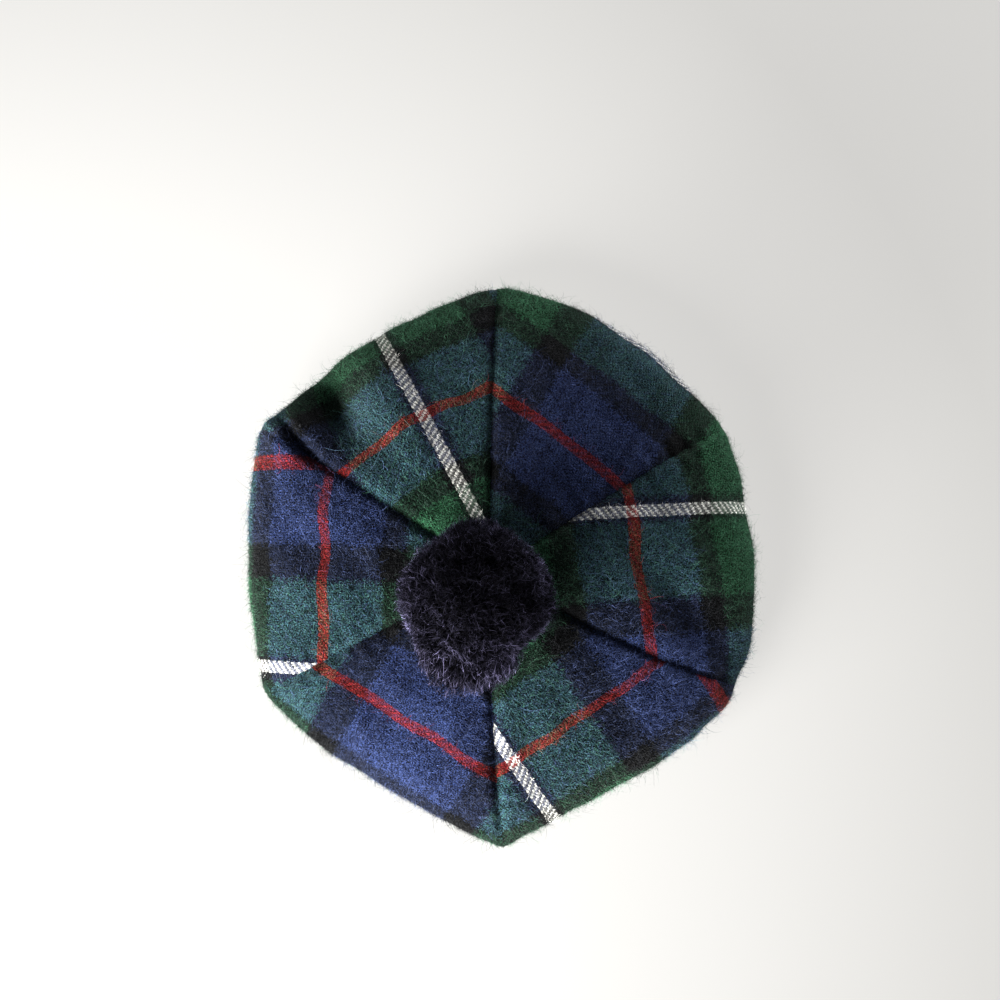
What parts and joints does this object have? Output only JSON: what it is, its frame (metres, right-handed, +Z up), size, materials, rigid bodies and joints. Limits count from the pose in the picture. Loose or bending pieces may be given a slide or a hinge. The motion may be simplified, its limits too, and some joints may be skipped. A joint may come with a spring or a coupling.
{
  "type": "tam o' shanter",
  "caption": "Round soft cap of checked brushed wool: a broad gored crown over a narrower headband, with a yarn pompom on top.",
  "frame": {"origin": "on the surface that the cap rests on, under the middle of the crown's outline", "axes": "+Z up through the pompom; +Y to the back; +X to the wearer's left when the front faces -Y"},
  "size_m": [0.2468, 0.2677, 0.108],
  "materials": {
    "tartan_wool": "brushed wool twill in blue, green and black checks with thin red and white lines",
    "band_wool": "dark wool twill",
    "pompom_yarn": "cut wool yarn, navy"
  },
  "bodies": {
    "root": {"gore_back_right": "tartan_wool", "gore_back_left": "tartan_wool", "gore_left": "tartan_wool", "gore_front_left": "tartan_wool", "gore_front_right": "tartan_wool", "gore_right": "tartan_wool", "headband": "band_wool", "pompom": "pompom_yarn", "pompom_tie": "pompom_yarn"}
  },
  "joints": []
}
